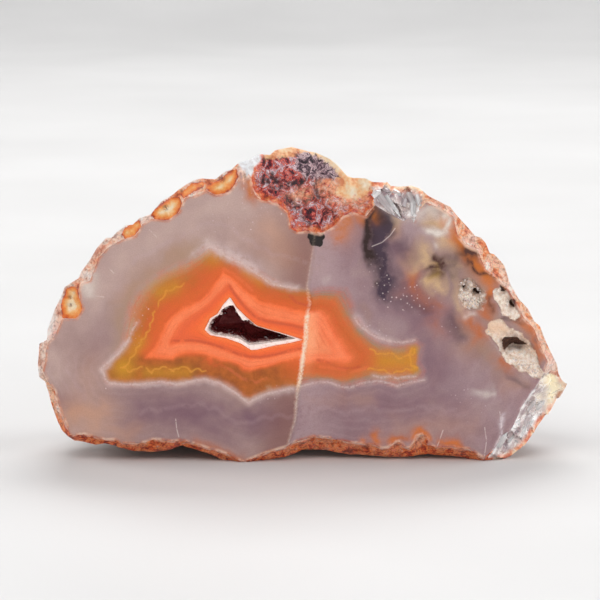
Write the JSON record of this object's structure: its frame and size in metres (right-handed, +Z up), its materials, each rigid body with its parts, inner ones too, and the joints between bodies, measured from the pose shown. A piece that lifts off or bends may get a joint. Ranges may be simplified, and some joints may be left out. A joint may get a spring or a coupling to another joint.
{
  "type": "coyamito agate half nodule",
  "caption": "Half of a small banded agate nodule with a polished cut face, a central crystal-lined hollow, a stepped crack, chipped corners and a rough domed rind.",
  "frame": {"origin": "middle of the underside, at the height the stone rests on", "axes": "+X to the right along the polished face, +Z up, and the polished face looks towards -Y"},
  "size_m": [0.0532, 0.0208, 0.0315],
  "materials": {
    "agate": "polished face with orange, salmon and ochre bands in greyish-lilac chalcedony, rough brick-red rind",
    "druse": "tiny glassy quartz crystals"
  },
  "bodies": {
    "root": {"agate": "agate", "druse_crust": "druse"}
  },
  "joints": []
}
